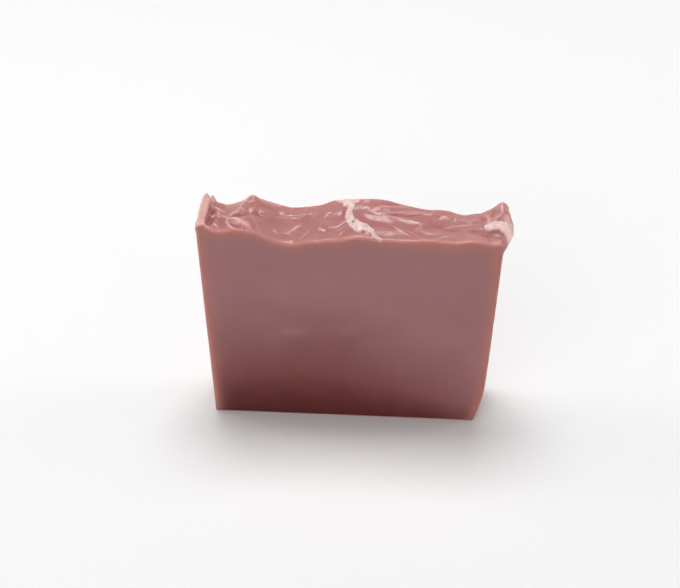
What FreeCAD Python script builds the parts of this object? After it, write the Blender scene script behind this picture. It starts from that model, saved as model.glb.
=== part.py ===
import FreeCAD, Part
import os

# A bar of handmade soap: one slice cut across a poured loaf. It stands on the face
# that lay on the floor of the mould. X runs across the bar, Y through its thickness
# from the front cut to the back cut, and Z up. The origin is the middle of the base.
# All sizes are in millimetres.

# The slice
THICKNESS = 17.0
BASE_WIDTH = 82.8
TOP_HEIGHT = 70.0

# The two faces that lay against the walls of the mould. Both lean outward, and the
# right one also bends in towards the base.
LEFT_LEAN = 1.4
LIP_START_DROP = 4.0
RIGHT_BEND_HEIGHT = 15.6
RIGHT_BEND_INSET = 3.4
RIGHT_BEND_SWELL = 0.5
RIGHT_LEAN = 2.6
EAR_START_DROP = 5.6

# The top edge along the front cut: share of the width from the left, and rise above
# the top height.
FRONT_EDGE = [
    (0.00, 2.3), (0.05, 2.2), (0.08, 1.7), (0.13, 2.4), (0.19, 1.6), (0.25, -1.0),
    (0.31, -2.2), (0.375, -1.1), (0.475, 0.1), (0.525, 1.0), (0.60, 0.3), (0.675, 0.2),
    (0.76, 0.8), (0.83, 0.2), (0.90, 1.0), (0.96, 0.1), (1.00, -0.5),
]

# The top edge along the back cut, in the same terms.
BACK_EDGE = [
    (0.00, 1.0), (0.045, 0.6), (0.08, -0.3), (0.12, 0.9), (0.17, 3.0), (0.20, 2.1),
    (0.24, 0.9), (0.29, -0.7), (0.325, -0.5), (0.39, 0.6), (0.44, 2.4), (0.49, 2.9),
    (0.56, 3.5), (0.61, 3.2), (0.675, 1.6), (0.74, 0.3), (0.82, -0.4), (0.87, -1.4),
    (0.92, -0.9), (0.96, -0.2), (1.00, 0.5),
]

# Raised wrinkles and sunken creases of the poured top: rise at the crest (below zero
# for a crease), half width, and the line as shares of the width and of the thickness.
WRINKLES = [
    (0.9, 2.6, [(0.49, 0.95), (0.50, 0.62), (0.52, 0.40), (0.56, 0.24)]),
    (0.8, 2.0, [(0.10, 0.60), (0.15, 0.72), (0.17, 0.90)]),
    (0.9, 2.0, [(0.095, 0.50), (0.14, 0.40), (0.165, 0.22)]),
    (0.6, 1.8, [(0.10, 0.36), (0.13, 0.16), (0.18, 0.12)]),
    (0.6, 1.8, [(0.05, 0.76), (0.10, 0.58)]),
    (-1.1, 2.4, [(0.05, 0.25), (0.055, 0.50), (0.05, 0.70)]),
    (-0.7, 2.2, [(0.13, 0.52), (0.20, 0.55)]),
    (0.5, 2.0, [(0.20, 0.84), (0.27, 0.80)]),
    (0.5, 2.0, [(0.21, 0.62), (0.26, 0.30)]),
    (0.5, 2.0, [(0.28, 0.78), (0.37, 0.80)]),
    (0.6, 2.0, [(0.41, 0.66), (0.46, 0.82)]),
    (0.7, 2.0, [(0.42, 0.48), (0.45, 0.36), (0.49, 0.46)]),
    (-0.6, 2.4, [(0.44, 0.58), (0.47, 0.66)]),
    (0.7, 2.0, [(0.55, 0.76), (0.62, 0.78), (0.70, 0.86)]),
    (0.6, 2.0, [(0.58, 0.60), (0.67, 0.62), (0.73, 0.50)]),
    (-0.8, 2.6, [(0.56, 0.46), (0.64, 0.42)]),
    (0.7, 2.0, [(0.64, 0.44), (0.68, 0.28), (0.71, 0.16)]),
    (-0.6, 2.4, [(0.77, 0.45), (0.83, 0.40)]),
    (0.7, 2.0, [(0.77, 0.84), (0.83, 0.72), (0.90, 0.70)]),
    (-0.8, 2.4, [(0.90, 0.34), (0.94, 0.40)]),
]

# The thin lip that stands along the left wall. Each section has its share of the
# thickness, and points from the wall over the top to the inner foot: distance to the
# right of the wall's top line, and rise above the top height.
LIP_SECTIONS = [
    (0.00, [(0.0, -0.2), (-0.1, 2.0), (0.4, 3.4), (1.3, 4.2), (2.6, 4.2), (3.4, 2.9), (4.4, 2.2)]),
    (0.15, [(-0.1, -0.2), (-0.2, 2.0), (0.3, 3.4), (1.2, 4.1), (2.5, 4.0), (3.1, 2.2), (4.0, 0.7)]),
    (0.45, [(-0.2, -0.3), (-0.4, 1.8), (0.0, 3.2), (0.9, 3.8), (2.2, 3.6), (2.9, 1.8), (3.8, 0.2)]),
    (0.75, [(-0.3, -0.6), (-0.7, 1.4), (-0.2, 3.0), (0.9, 3.8), (2.3, 3.4), (3.0, 1.8), (4.0, 0.4)]),
    (1.00, [(-0.4, -1.0), (-0.8, 0.8), (-0.2, 2.4), (1.1, 3.7), (2.6, 3.2), (3.4, 1.6), (4.5, 0.5)]),
]

# The ear, a curl of soap that spills over the right wall. Its points run from the
# inner foot over the crest and the outermost edge back to the wall, in the same terms.
EAR_SECTIONS = [
    (0.00, [(-4.0, 0.2), (-2.2, -0.1), (-0.7, -0.3), (0.0, -1.0), (0.1, -2.2), (0.0, -3.8)]),
    (0.18, [(-4.4, 0.1), (-2.4, 0.5), (-0.2, 0.6), (1.7, -0.4), (1.9, -1.6), (0.6, -3.8)]),
    (0.36, [(-4.6, 0.1), (-2.8, 1.1), (0.2, 1.2), (2.7, 0.2), (2.8, -1.2), (0.9, -3.7)]),
    (0.52, [(-5.0, 0.1), (-3.0, 1.3), (0.4, 1.6), (3.0, 0.3), (2.9, -1.2), (0.9, -3.7)]),
    (0.74, [(-5.8, 0.0), (-3.2, 1.3), (-0.2, 2.4), (2.2, 0.9), (2.2, -1.0), (0.8, -3.6)]),
    (0.88, [(-6.4, -0.2), (-3.6, 1.4), (-0.8, 3.2), (1.4, 1.5), (1.6, -0.8), (0.7, -3.6)]),
    (1.00, [(-6.8, -0.4), (-3.8, 1.4), (-1.0, 3.9), (1.1, 1.9), (1.3, -0.6), (0.6, -3.6)]),
]

# The net of control points of the poured top, and the degree of its surface
SURFACE_DEGREE = 3
LIP_STEPS = 8
TOP_STEPS = 40
EAR_STEPS = 9
THROUGH_STEPS = 8

# Lengths that follow from the sizes above
HALF_THICKNESS = THICKNESS / 2
HALF_BASE = BASE_WIDTH / 2
LEFT_TOP = -HALF_BASE - LEFT_LEAN
BEND_TOP = HALF_BASE + RIGHT_BEND_INSET
RIGHT_TOP = BEND_TOP + RIGHT_LEAN
TOP_WIDTH = RIGHT_TOP - LEFT_TOP
LEFT_WALL_HEIGHT = TOP_HEIGHT - LIP_START_DROP
RIGHT_WALL_HEIGHT = TOP_HEIGHT - EAR_START_DROP


def smooth_value(knots, place):
    """The value at a place of the smooth curve through (place, value) knots."""
    last = len(knots) - 1
    index = 0
    while index < last - 1 and place > knots[index + 1][0]:
        index += 1
    (start, low), (end, high) = knots[index], knots[index + 1]
    before = knots[max(index - 1, 0)]
    after = knots[min(index + 2, last)]
    step = end - start
    slope_in = (high - before[1]) / (end - before[0]) * step
    slope_out = (after[1] - low) / (after[0] - start) * step
    t = min(max((place - start) / step, 0.0), 1.0)
    rise = (3 - 2 * t) * t * t
    return low + (high - low) * rise + slope_in * t * (1 - t) ** 2 - slope_out * t * t * (1 - t)


def distance_to_line(x, y, line):
    """The shortest distance from a point to a line of several runs."""
    nearest = TOP_WIDTH
    for (ax, ay), (bx, by) in zip(line, line[1:]):
        run_x = bx - ax
        run_y = by - ay
        share = ((x - ax) * run_x + (y - ay) * run_y) / (run_x ** 2 + run_y ** 2)
        share = min(max(share, 0.0), 1.0)
        gap = ((x - ax - share * run_x) ** 2 + (y - ay - share * run_y) ** 2) ** 0.5
        nearest = min(nearest, gap)
    return nearest


def place(across, through):
    """The plan position of a share of the width and a share of the thickness."""
    return LEFT_TOP + across * TOP_WIDTH, (through - 0.5) * THICKNESS


def top_height(x, y):
    """The height of the poured top between the lip and the ear."""
    across = (x - LEFT_TOP) / TOP_WIDTH
    through = y / THICKNESS + 0.5
    front = smooth_value(FRONT_EDGE, across)
    back = smooth_value(BACK_EDGE, across)
    height = TOP_HEIGHT + front + (back - front) * through
    for rise, half_width, shares in WRINKLES:
        line = [place(*share) for share in shares]
        nearness = distance_to_line(x, y, line) / half_width
        if nearness < 1:
            height += rise * (1 - nearness ** 2) ** 2
    return height


def rim_points(sections, through, wall_x):
    """The section of the lip or the ear at a share of the thickness, as (x, z) points."""
    points = []
    for index in range(len(sections[0][1])):
        reach = smooth_value([(share, row[index][0]) for share, row in sections], through)
        rise = smooth_value([(share, row[index][1]) for share, row in sections], through)
        points.append((wall_x + reach, TOP_HEIGHT + rise))
    return points


def sample(points, steps):
    """Points at even steps along the smooth curve through a few (x, z) points."""
    x_knots = [(index, x) for index, (x, z) in enumerate(points)]
    z_knots = [(index, z) for index, (x, z) in enumerate(points)]
    spaced = []
    for step in range(steps + 1):
        position = step * (len(points) - 1) / steps
        spaced.append((smooth_value(x_knots, position), smooth_value(z_knots, position)))
    return spaced


def top_section(through):
    """The whole top line of one section, from the left wall to the right wall."""
    y = (through - 0.5) * THICKNESS
    lip = rim_points(LIP_SECTIONS, through, LEFT_TOP)
    ear = rim_points(EAR_SECTIONS, through, RIGHT_TOP)
    lip_foot = lip[-1][0]
    ear_foot = ear[0][0]
    lip[-1] = (lip_foot, top_height(lip_foot, y))
    ear[0] = (ear_foot, top_height(ear_foot, y))
    middle = []
    for step in range(1, TOP_STEPS):
        x = lip_foot + (ear_foot - lip_foot) * step / TOP_STEPS
        middle.append((x, top_height(x, y)))
    line = sample([(LEFT_TOP, LEFT_WALL_HEIGHT)] + lip, LIP_STEPS)
    line += middle
    line += sample(ear + [(RIGHT_TOP, RIGHT_WALL_HEIGHT)], EAR_STEPS)
    return [FreeCAD.Vector(x, y, z) for x, z in line]


def even_knots(count):
    """Evenly spaced knots that hold a surface to the first and last of its points."""
    knots = list(range(count - SURFACE_DEGREE + 1))
    ends = [SURFACE_DEGREE + 1]
    return knots, ends + [1] * (len(knots) - 2) + ends


def poured_top():
    """The skin of the top as one smooth surface over its net of control points."""
    net = [top_section(step / THROUGH_STEPS) for step in range(THROUGH_STEPS + 1)]
    knots_through, repeats_through = even_knots(len(net))
    knots_across, repeats_across = even_knots(len(net[0]))
    surface = Part.BSplineSurface()
    surface.buildFromPolesMultsKnots(
        net, repeats_through, repeats_across, knots_through, knots_across,
        False, False, SURFACE_DEGREE, SURFACE_DEGREE,
    )
    return surface


def corner(x, y, z):
    """A corner of the solid."""
    return FreeCAD.Vector(x, y, z)


def wall_edges(y):
    """The straight and bent edges of one cut face, from the left wall round the base."""
    left_top = corner(LEFT_TOP, y, LEFT_WALL_HEIGHT)
    left_base = corner(-HALF_BASE, y, 0)
    right_base = corner(HALF_BASE, y, 0)
    bend_middle = corner(
        HALF_BASE + RIGHT_BEND_INSET / 2 + RIGHT_BEND_SWELL, y, RIGHT_BEND_HEIGHT / 2)
    bend_top = corner(BEND_TOP, y, RIGHT_BEND_HEIGHT)
    right_top = corner(RIGHT_TOP, y, RIGHT_WALL_HEIGHT)
    return [
        Part.LineSegment(left_top, left_base).toShape(),
        Part.LineSegment(left_base, right_base).toShape(),
        Part.Arc(right_base, bend_middle, bend_top).toShape(),
        Part.LineSegment(bend_top, right_top).toShape(),
    ]


def cut_face(y, top_edge):
    """One flat face that the knife left, bounded by the walls and the top line."""
    return Part.Face(Part.Wire(wall_edges(y) + [top_edge]))


def soap_bar():
    """The closed solid of the bar."""
    top = poured_top()
    first, last, _, _ = top.bounds()
    front_edge = top.uIso(first).toShape()
    back_edge = top.uIso(last).toShape()
    to_the_back = FreeCAD.Vector(0, THICKNESS, 0)
    faces = [edge.extrude(to_the_back) for edge in wall_edges(-HALF_THICKNESS)]
    faces.append(top.toShape())
    faces.append(cut_face(-HALF_THICKNESS, front_edge))
    faces.append(cut_face(HALF_THICKNESS, back_edge))
    shell = Part.Compound(faces)
    shell.sewShape()
    return Part.Solid(shell.Shells[0])


bar = soap_bar()
os.makedirs("parts", exist_ok=True)
bar.exportStep("parts/soap_bar.step")
print("valid", bar.isValid(), "volume", round(bar.Volume), "box", bar.BoundBox)
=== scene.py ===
import math

import bpy
import numpy as np
from mathutils import Matrix, Vector, noise


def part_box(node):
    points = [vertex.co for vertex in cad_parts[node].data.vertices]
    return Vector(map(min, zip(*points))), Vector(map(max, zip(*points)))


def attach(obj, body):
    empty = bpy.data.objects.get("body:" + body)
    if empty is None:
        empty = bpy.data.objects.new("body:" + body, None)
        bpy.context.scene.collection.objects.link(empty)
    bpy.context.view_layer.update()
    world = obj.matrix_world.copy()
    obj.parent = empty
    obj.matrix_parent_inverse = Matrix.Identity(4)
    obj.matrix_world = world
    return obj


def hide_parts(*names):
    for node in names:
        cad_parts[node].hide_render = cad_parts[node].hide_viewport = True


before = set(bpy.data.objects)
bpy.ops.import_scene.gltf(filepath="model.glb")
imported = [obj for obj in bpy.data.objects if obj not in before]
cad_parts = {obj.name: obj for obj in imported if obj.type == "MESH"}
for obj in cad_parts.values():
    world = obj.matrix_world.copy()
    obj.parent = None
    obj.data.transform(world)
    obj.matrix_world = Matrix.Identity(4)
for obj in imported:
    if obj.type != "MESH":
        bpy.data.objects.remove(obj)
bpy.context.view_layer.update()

# The looks of a bar of handmade soap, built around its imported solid. The sizes below
# are in millimetres and are turned into metres where the mesh is made. X runs across
# the bar, Y from the front cut to the back cut, and Z up from the middle of the base.

MM = 0.001

# The drift of the fine relief depends on this seed, so every run gives the same bar
CHANCE_SEED = 7
noise.seed_set(CHANCE_SEED)

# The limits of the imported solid
BAR_LOW, BAR_HIGH = (np.array(corner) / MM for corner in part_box("soap_bar"))

# Sizes read from the frame: the thickness, and the base that the bar stands on
THICKNESS = BAR_HIGH[1] - BAR_LOW[1]
FLOOR_TOUCH = 0.01
BASE_XS = [v.co.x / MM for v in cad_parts["soap_bar"].data.vertices
           if v.co.z / MM < FLOOR_TOUCH]
HALF_BASE = max(BASE_XS)

# The form of the bar, as its solid has it
TOP_HEIGHT = 70.0
LEFT_TOP = -HALF_BASE - 1.4
LEFT_WALL_HEIGHT = TOP_HEIGHT - 4.0
BEND_HEIGHT = 15.6
BEND_TOP = HALF_BASE + 3.4
BEND_SWELL = 0.5
RIGHT_TOP = BEND_TOP + 2.6
RIGHT_WALL_HEIGHT = TOP_HEIGHT - 5.6
TOP_WIDTH = RIGHT_TOP - LEFT_TOP

# The top edges along the front and the back cut: share of the width, and rise
FRONT_EDGE = [
    (0.00, 2.3), (0.05, 2.2), (0.08, 1.7), (0.13, 2.4), (0.19, 1.6), (0.25, -1.0),
    (0.31, -2.2), (0.375, -1.1), (0.475, 0.1), (0.525, 1.0), (0.60, 0.3), (0.675, 0.2),
    (0.76, 0.8), (0.83, 0.2), (0.90, 1.0), (0.96, 0.1), (1.00, -0.5),
]
BACK_EDGE = [
    (0.00, 1.0), (0.045, 0.6), (0.08, -0.3), (0.12, 0.9), (0.17, 3.0), (0.20, 2.1),
    (0.24, 0.9), (0.29, -0.4), (0.325, -0.3), (0.39, 0.6), (0.44, 2.4), (0.49, 2.9),
    (0.56, 3.5), (0.61, 3.2), (0.675, 1.6), (0.74, 0.3), (0.82, -0.4), (0.87, -1.4),
    (0.92, -0.9), (0.96, -0.2), (1.00, 0.5),
]

# Sections of the lip on the left wall and of the ear on the right wall: share of the
# thickness, and points as distance to the right of the wall's top and rise
LIP_SECTIONS = [
    (0.00, [(0.0, -0.2), (-0.1, 2.0), (0.4, 3.4), (1.3, 4.2), (2.6, 4.2), (3.4, 2.9), (4.4, 2.2)]),
    (0.15, [(-0.1, -0.2), (-0.2, 2.0), (0.3, 3.4), (1.2, 4.1), (2.5, 4.0), (3.1, 2.2), (4.0, 0.7)]),
    (0.45, [(-0.2, -0.3), (-0.2, 1.8), (0.2, 3.2), (0.9, 3.8), (2.5, 3.6), (3.0, 1.8), (3.7, 0.2)]),
    (0.75, [(-0.3, -0.6), (-0.4, 1.4), (0.1, 3.0), (0.9, 3.8), (2.6, 3.4), (3.2, 1.8), (4.0, 0.4)]),
    (1.00, [(-0.4, -1.0), (-0.5, 0.8), (0.1, 2.4), (1.1, 3.7), (2.6, 3.2), (3.4, 1.6), (4.5, 0.5)]),
]
EAR_SECTIONS = [
    (0.00, [(-4.0, 0.2), (-2.2, -0.1), (-0.7, -0.3), (0.0, -1.0), (0.1, -2.2), (0.0, -3.8)]),
    (0.18, [(-4.4, 0.1), (-2.4, 0.5), (-0.2, 0.6), (1.7, -0.4), (1.9, -1.6), (0.6, -3.8)]),
    (0.36, [(-4.6, 0.1), (-2.8, 1.1), (0.2, 1.2), (2.7, 0.2), (2.8, -1.2), (0.9, -3.7)]),
    (0.52, [(-5.0, 0.1), (-3.0, 1.3), (0.4, 1.6), (3.0, 0.3), (2.9, -1.2), (0.9, -3.7)]),
    (0.74, [(-5.8, 0.0), (-3.2, 1.3), (-0.2, 2.4), (2.2, 0.9), (2.2, -1.0), (0.8, -3.6)]),
    (0.88, [(-6.4, -0.2), (-3.4, 1.5), (-0.6, 3.3), (1.5, 2.1), (1.7, -0.6), (0.7, -3.6)]),
    (1.00, [(-6.8, -0.4), (-3.6, 1.5), (-0.7, 3.8), (1.3, 2.5), (1.4, -0.4), (0.6, -3.6)]),
]

# Swells and hollows of the poured top: rise, half width, and a line of (x, y) points
SWELLS = [
    (0.3, 2.6, [(1.4, 7.6), (2.3, 2.0), (4.1, -1.7), (7.7, -4.4)]),
    (0.5, 1.8, [(-27.2, 7.4), (-29.4, 6.2), (-30.6, 3.4), (-32.6, 1.6)]),
    (0.5, 1.8, [(-34.2, -1.0), (-30.6, -3.4), (-28.0, -6.0)]),
    (0.3, 1.3, [(-34.2, -2.4), (-33.8, -5.0), (-31.6, -7.8)]),
    (-0.7, 1.5, [(-39.3, -5.2), (-38.9, 0.0), (-39.2, 3.0)]),
    (-0.3, 1.8, [(-36.4, -2.4), (-35.8, -5.6)]),
    (-0.5, 2.2, [(-31.6, 0.0), (-24.8, 0.9)]),
    (0.25, 2.2, [(-24.8, 5.8), (-18.4, 5.1)]),
    (0.25, 2.0, [(-23.9, 2.0), (-19.3, -3.4)]),
    (0.25, 2.2, [(-17.5, 4.8), (-9.4, 5.1)]),
    (0.25, 2.0, [(-4.9, -1.8), (-1.6, -3.0), (1.0, -1.2)]),
    (-0.2, 2.6, [(-3.1, 0.8), (-0.6, 1.4)]),
    (0.2, 2.6, [(9.0, 4.8), (13.1, 4.9), (20.3, 6.1)]),
    (0.14, 2.4, [(14.0, 1.9), (17.6, 1.8), (23.0, 0.0)]),
    (-0.24, 2.8, [(7.7, -0.7), (14.9, -1.4)]),
    (0.12, 2.2, [(14.9, -1.0), (18.5, -3.7), (21.2, -5.8)]),
    (-0.3, 2.6, [(26.6, -0.8), (32.0, -1.7)]),
    (0.3, 2.0, [(26.6, 5.8), (32.0, 3.7), (38.3, 3.4)]),
    (-0.4, 2.4, [(38.4, -3.0), (42.0, -4.0), (45.5, -5.0)]),
    (0.3, 2.2, [(28.4, 8.5), (31.4, 8.5)]),
    (0.25, 1.8, [(38.0, 8.5), (40.0, 8.5)]),
]

# Ragged patches with a pale crust that is partly a painted reflection of the overhead lamp: how pale,
# how much the crust stands up, and a line of (x, y) points with the half width at each
PATCHES = [
    (0.90, 0.14, [(-2.6, 8.6, 0.7), (-1.0, 8.0, 1.1), (1.0, 7.6, 1.9), (3.2, 7.8, 1.2)]),
    (1.00, 0.16, [(1.4, 7.2, 2.0), (2.0, 5.4, 1.5), (2.3, 4.2, 1.0), (1.8, 2.8, 0.9), (1.9, 1.2, 1.2)]),
    (1.00, 0.16, [(1.9, 1.4, 1.2), (2.0, 0.2, 1.2), (2.5, -1.2, 1.1), (3.3, -2.2, 1.5)]),
    (1.00, 0.16, [(3.4, -2.2, 1.4), (4.3, -3.4, 1.4), (5.1, -4.6, 1.2)]),
    (1.00, 0.16, [(4.6, -3.3, 1.4), (6.6, -4.0, 1.4), (8.2, -5.0, 0.9)]),
    (0.60, 0.12, [(8.2, -4.9, 0.9), (9.3, -6.2, 0.7), (10.7, -7.6, 0.6), (11.6, -8.2, 0.5)]),
    (0.42, 0.08, [(2.8, 4.9, 0.9), (4.4, 4.6, 0.8), (6.0, 4.4, 0.5), (7.2, 4.8, 0.3)]),
    (1.00, 0.16, [(42.7, -1.5, 1.6), (43.8, -1.6, 1.7), (45.3, -1.5, 1.8), (46.8, -1.8, 1.8)]),
    (0.90, 0.16, [(47.2, -2.4, 1.7), (48.6, -4.0, 1.4), (49.1, -5.6, 1.2), (49.0, -7.2, 0.9)]),
    (0.55, 0.10, [(43.0, -0.4, 0.9), (43.2, 1.0, 0.6)]),
]
# Places painted paler, a painted highlight and a painted glow of light through thin parts: how pale,
# half width, and a line of points
PAINTED_LIGHT_LINES = [
    (0.90, 1.9, [(48.2, 3.0), (49.4, -1.0), (49.7, -3.6), (49.4, -6.4)]),
    (0.35, 0.9, [(41.7, 7.2), (44.4, 8.0), (46.3, 8.2)]),
    (0.40, 1.8, [(45.6, 7.4), (48.0, 5.6)]),
    (0.55, 0.8, [(41.4, 6.8), (42.6, 5.4), (43.0, 1.6)]),
    (0.30, 1.2, [(-35.2, 6.6), (-33.4, 7.0), (-31.6, 7.0)]),
    (0.35, 0.7, [(-26.0, 8.2), (-19.0, 8.2)]),
    (0.35, 0.6, [(1.0, -8.0), (5.0, -8.1), (12.0, -8.1)]),
    (0.55, 1.3, [(-33.6, -1.6), (-31.2, -2.8), (-28.6, -5.4)]),
    (0.60, 0.7, [(-40.5, 4.8), (-40.8, 1.0), (-40.7, -3.0), (-40.9, -7.0)]),
]

# Wrinkles, each a line of (x, y) points with its rise (below zero for a crease) and
# half width. They thin out towards both ends.
WRINKLES = [
    # The crumpled hollow beside the lip
    (0.30, 0.7, [(-39.5, 7.2), (-40.2, 4.8), (-40.5, 2.6), (-40.5, 0.6), (-40.2, -0.8)]),
    (0.40, 0.7, [(-39.8, 4.2), (-38.4, 4.5), (-37.5, 4.2), (-36.6, 3.6), (-35.3, 2.2)]),
    (0.35, 0.6, [(-39.7, -0.6), (-38.6, 0.4), (-37.7, 0.8), (-37.0, 1.0)]),
    (0.45, 0.6, [(-37.5, 2.6), (-37.2, 1.0), (-36.8, -0.8)]),
    (0.35, 0.7, [(-36.0, 0.8), (-35.0, -0.6), (-33.9, -2.2)]),
    (0.50, 0.9, [(-33.9, 0.2), (-32.9, 0.8), (-31.7, 1.3), (-30.6, 1.6)]),
    (0.55, 1.1, [(-33.9, -2.0), (-31.9, -2.6), (-30.1, -4.4), (-28.2, -6.2), (-27.0, -7.2)]),
    (0.45, 0.7, [(-33.9, -2.2), (-34.2, -3.6), (-33.6, -5.0), (-32.4, -7.0), (-31.4, -8.2)]),
    (0.35, 0.6, [(-28.9, -6.9), (-27.6, -7.2), (-25.6, -7.6)]),
    (0.40, 0.6, [(-37.7, -4.8), (-36.9, -5.2), (-36.4, -6.2)]),
    (0.45, 0.6, [(-40.2, -8.2), (-39.3, -8.1), (-38.6, -7.6)]),
    (0.40, 0.8, [(-27.3, 7.6), (-29.0, 7.0), (-30.4, 5.2), (-31.0, 2.4)]),
    (0.30, 0.6, [(-30.9, 2.8), (-30.3, 2.2), (-29.6, 2.0)]),
    (-0.45, 0.6, [(-39.7, -1.2), (-39.8, -4.0), (-39.9, -6.6)]),
    (-0.45, 0.5, [(-40.1, 2.9), (-39.8, 1.8)]),
    (-0.40, 0.4, [(-40.1, 5.4), (-39.8, 4.8)]),
    (-0.40, 0.6, [(-33.1, -4.6), (-31.4, -5.8), (-29.6, -6.8)]),
    (0.24, 0.4, [(-33.2, -3.4), (-31.4, -4.6), (-29.4, -6.3)]),
    (-0.20, 0.4, [(-33.0, -2.7), (-31.2, -3.7), (-29.6, -5.2)]),
    (-0.30, 0.5, [(-29.4, -7.6), (-27.9, -8.0)]),
    (-0.40, 0.8, [(-33.0, -0.6), (-31.6, -1.0)]),
    (0.12, 0.8, [(-28.6, 1.4), (-26.6, -1.4), (-24.8, -5.0), (-23.4, -6.8)]),
    # The long slope to the middle
    (0.28, 0.8, [(-25.8, 7.6), (-23.6, 6.8), (-21.6, 6.6), (-19.2, 7.3)]),
    (-0.22, 1.2, [(-25.0, 4.9), (-22.0, 4.5), (-18.8, 5.0)]),
    (0.35, 0.5, [(-24.4, 1.6), (-23.5, 1.9)]),
    (0.24, 0.6, [(-20.2, 1.9), (-18.6, 2.3), (-17.0, 2.4)]),
    (0.24, 0.5, [(-17.4, 3.6), (-15.4, 3.9), (-13.0, 4.1), (-11.2, 4.4)]),
    (0.30, 0.5, [(-10.5, 4.1), (-9.7, 4.4)]),
    (0.28, 0.6, [(-5.8, 1.8), (-4.9, 2.6), (-3.9, 3.6)]),
    (0.36, 0.9, [(-3.9, -3.2), (-2.7, -3.4), (-1.5, -3.5), (-0.3, -2.7), (0.8, -1.4)]),
    (0.36, 0.7, [(-6.8, -2.6), (-6.2, -3.5), (-5.2, -3.9)]),
    (0.14, 0.7, [(-12.6, -6.6), (-11.4, -5.0), (-10.0, -3.4)]),
    (0.12, 0.7, [(-18.4, -4.6), (-15.4, -2.6), (-12.8, 0.6)]),
    # The broad folds right of the middle
    (0.30, 0.6, [(5.8, 6.6), (6.6, 7.2), (7.4, 7.0)]),
    (0.15, 0.6, [(1.0, -7.6), (5.0, -7.7), (9.0, -7.8), (14.0, -7.9), (20.0, -7.9)]),
    (-0.16, 1.6, [(11.8, -6.4), (14.4, -6.6), (17.0, -6.2)]),
    (0.16, 0.7, [(9.6, -5.2), (12.2, -5.1), (14.4, -4.6)]),
    (0.16, 0.6, [(14.8, -1.8), (16.4, -3.0), (18.4, -4.7), (20.4, -6.6)]),
    (0.12, 0.6, [(18.6, -3.4), (21.0, -5.2), (23.8, -7.6)]),
    (0.28, 0.7, [(9.8, 2.5), (12.9, 2.6), (15.2, 3.3), (18.5, 4.7), (20.8, 5.4), (24.0, 6.1)]),
    (0.20, 0.8, [(9.4, 4.4), (11.7, 5.1), (15.6, 5.9), (19.8, 7.4)]),
    (0.26, 0.6, [(16.2, 3.0), (20.3, 4.4), (23.1, 5.5), (26.0, 5.4)]),
    (-0.28, 0.7, [(13.0, 2.0), (15.2, 2.3), (19.0, 3.2), (23.0, 4.0)]),
    (0.22, 0.9, [(12.4, 1.7), (16.4, 1.2), (20.1, 0.7), (22.8, 0.0), (23.3, -1.6), (22.0, -3.2)]),
    (-0.28, 1.4, [(23.8, -2.2), (27.5, -1.4)]),
    (0.18, 0.8, [(22.6, -3.2), (25.4, -5.0), (28.9, -4.2)]),
    (0.34, 0.8, [(28.6, 3.8), (30.1, 4.5), (31.6, 4.1)]),
    (0.40, 0.7, [(32.6, 4.2), (33.6, 3.6)]),
    (0.36, 0.6, [(37.3, 2.8), (38.4, 2.4)]),
    (0.22, 0.7, [(30.6, -0.6), (33.6, 1.0), (37.1, 1.6), (40.0, 1.0)]),
    (0.28, 0.5, [(40.5, -0.1), (41.2, -0.6)]),
    (0.16, 0.8, [(28.0, -7.0), (31.0, -5.6), (34.8, -5.8)]),
    # The ear
    (-0.60, 0.9, [(41.0, 5.6), (41.6, 4.2), (42.0, 2.6)]),
    (0.25, 0.6, [(41.0, 6.8), (43.0, 7.3), (45.6, 7.4)]),
    (0.20, 0.9, [(48.2, 7.0), (48.8, 4.0), (48.7, 0.8)]),
    (0.36, 0.7, [(44.6, 0.8), (46.0, 3.0), (47.3, 4.4)]),
    (0.30, 0.6, [(47.5, -0.8), (48.6, 0.4)]),
    (-0.28, 0.9, [(45.0, 6.0), (44.6, 3.8), (44.0, 2.4)]),
    (-0.22, 0.5, [(47.9, -1.4), (49.0, -2.6), (49.4, -4.4)]),
    (0.15, 0.8, [(39.9, -3.6), (43.3, -5.6), (46.0, -6.4)]),
]

# Thin facets that tip towards the front and catch the light: half width, and a line
GLINTS = [
    (0.40, [(-25.4, 6.4), (-22.5, 6.2), (-19.6, 7.2)]),
    (0.45, [(-24.9, 1.4), (-24.1, 1.7), (-23.0, 2.3)]),
    (0.36, [(-19.4, 1.9), (-16.7, 2.6)]),
    (0.40, [(-17.4, 3.7), (-15.2, 3.9), (-13.1, 4.0), (-11.1, 4.2)]),
    (0.40, [(-10.8, 4.0), (-9.5, 4.2)]),
    (0.35, [(-12.0, -4.6), (-10.8, -4.6)]),
    (0.45, [(-6.0, 1.8), (-5.1, 2.3), (-4.1, 3.1)]),
    (0.45, [(-6.7, -3.5), (-5.8, -4.0), (-4.9, -3.8)]),
    (0.50, [(-3.4, -2.8), (-1.8, -3.4), (-0.2, -2.6)]),
    (0.35, [(5.9, 7.2), (7.0, 7.0)]),
    (0.48, [(13.8, 3.2), (15.2, 3.4), (16.2, 3.7)]),
    (0.40, [(17.0, 4.7), (20.7, 5.5)]),
    (0.33, [(17.4, 1.0), (20.5, 0.6), (23.0, 0.0)]),
    (0.33, [(30.0, 1.2), (34.2, 1.0)]),
    (0.45, [(32.4, 4.4), (33.8, 3.6)]),
    (0.42, [(37.3, 2.8), (38.4, 2.5)]),
    (0.33, [(38.3, 1.8), (39.5, 1.6)]),
]
GLINT_SLOPE = 0.31

# The back end of the lip parts into two tips: the groove and the second tip's ridge
LIP_GROOVE = (-1.3, 0.75, [(-40.7, 10.0), (-40.6, 7.6), (-40.7, 5.2)])
LIP_TIP = (1.2, 0.75, [(-39.2, 10.0), (-39.5, 7.2), (-40.0, 4.6)])

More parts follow.
